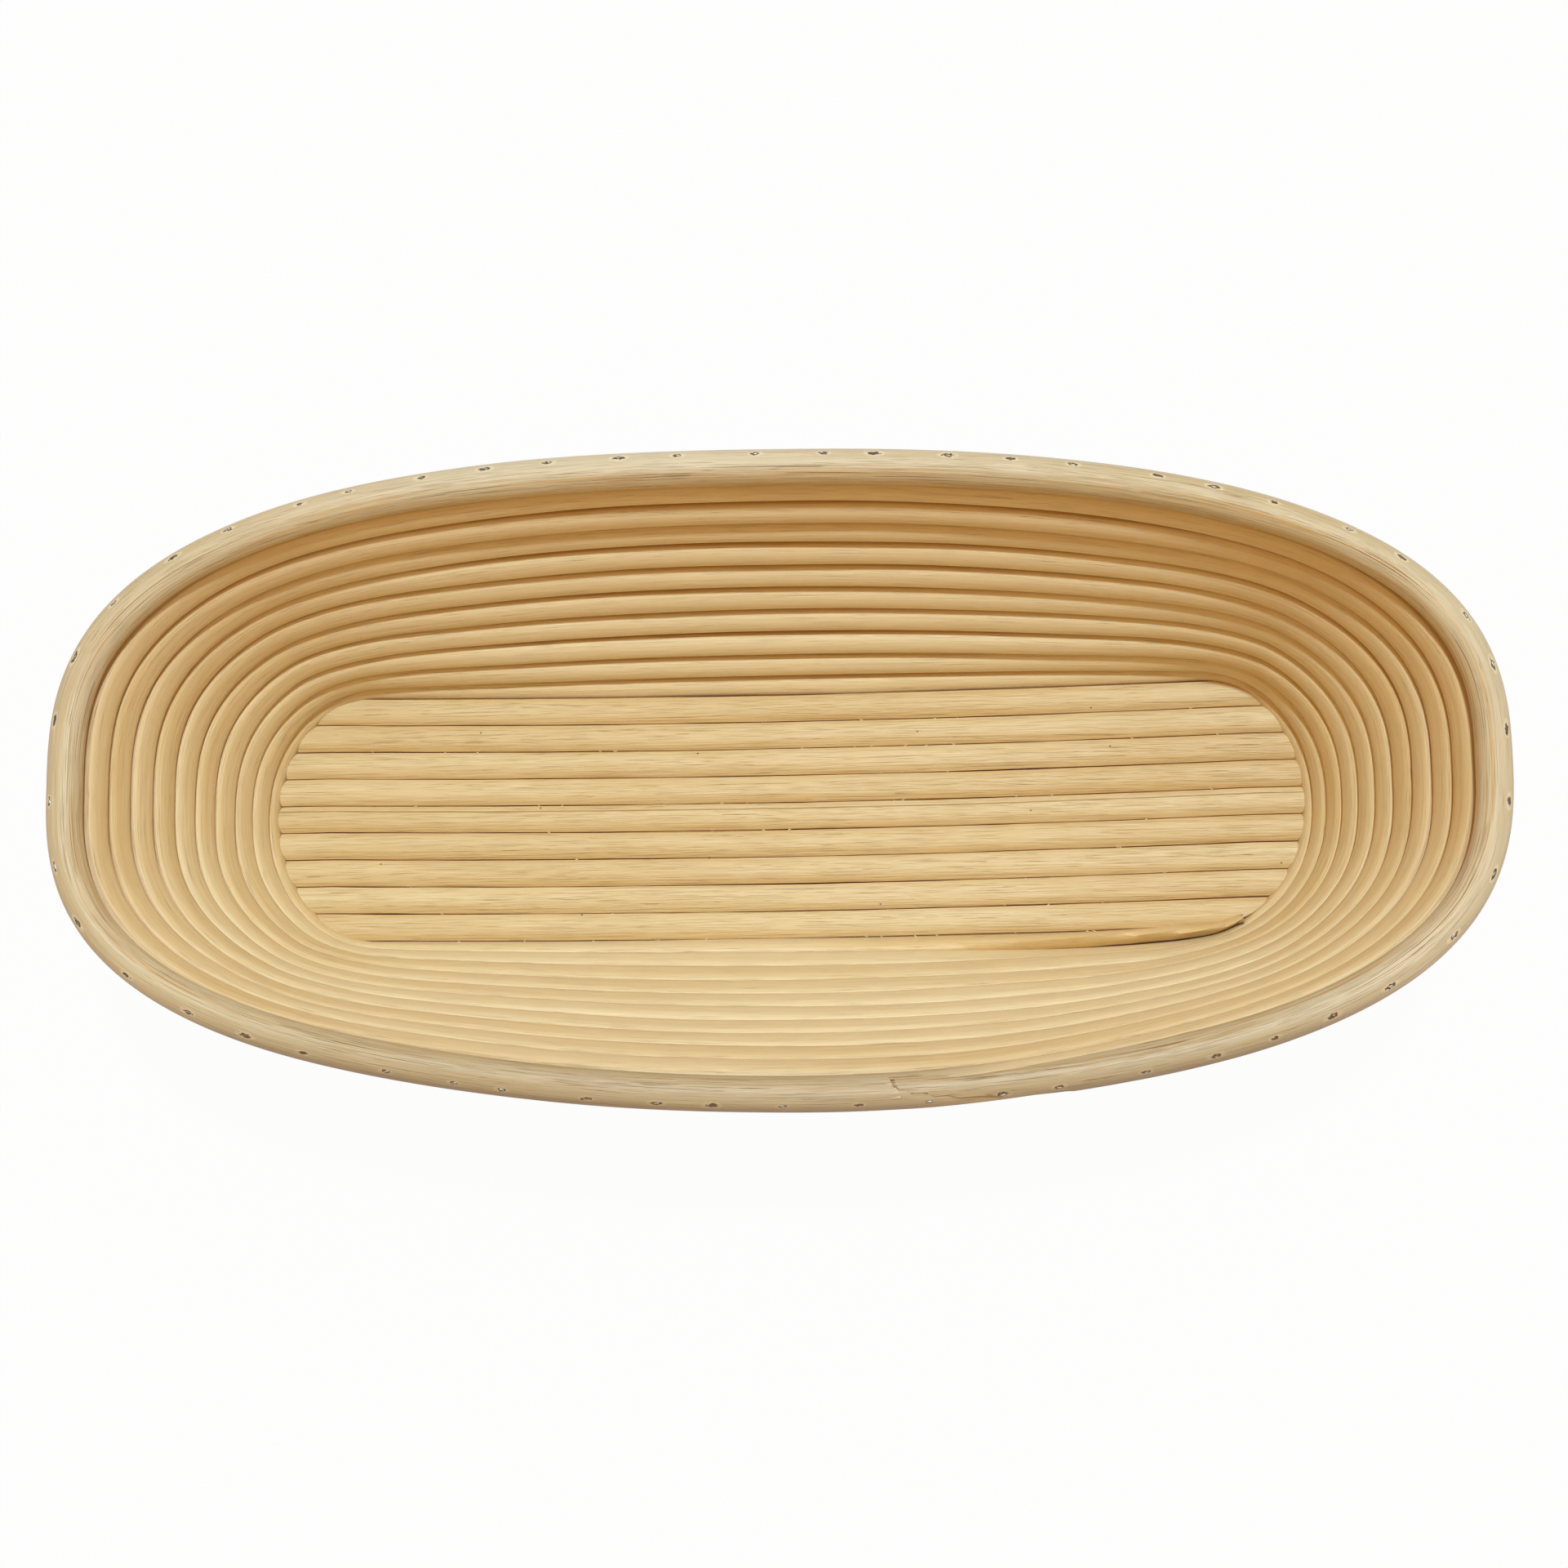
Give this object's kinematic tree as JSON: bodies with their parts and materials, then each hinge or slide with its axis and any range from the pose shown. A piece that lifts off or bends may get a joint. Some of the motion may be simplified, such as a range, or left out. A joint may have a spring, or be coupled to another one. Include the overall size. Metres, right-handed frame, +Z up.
{
  "type": "proofing basket",
  "caption": "Long oval bread proofing basket wound from one round rattan cane on a floor of straight cane slats, held by small steel staples.",
  "frame": {"origin": "middle of the underside, on the surface that the floor slats stand on", "axes": "+X along the basket, +Y towards its far side in the picture, +Z up"},
  "size_m": [0.35, 0.1594, 0.0865],
  "materials": {
    "floor_cane": "bare peeled rattan, satin",
    "wall_cane": "bare peeled rattan, satin",
    "staple_steel": "plain drawn wire"
  },
  "bodies": {
    "root": {"floor_slat_1": "floor_cane", "floor_slat_2": "floor_cane", "floor_slat_3": "floor_cane", "floor_slat_4": "floor_cane", "floor_slat_5": "floor_cane", "floor_slat_6": "floor_cane", "floor_slat_7": "floor_cane", "floor_slat_8": "floor_cane", "floor_slat_9": "floor_cane", "wall_coil": "wall_cane", "floor_staples": "staple_steel", "floor_edge_staples": "staple_steel", "wall_staples_2": "staple_steel", "wall_staples_3": "staple_steel", "wall_staples_4": "staple_steel", "wall_staples_5": "staple_steel", "wall_staples_6": "staple_steel", "wall_staples_7": "staple_steel", "wall_staples_8": "staple_steel", "wall_staples_9": "staple_steel", "wall_staples_10": "staple_steel", "rim_staples": "staple_steel"}
  },
  "joints": []
}
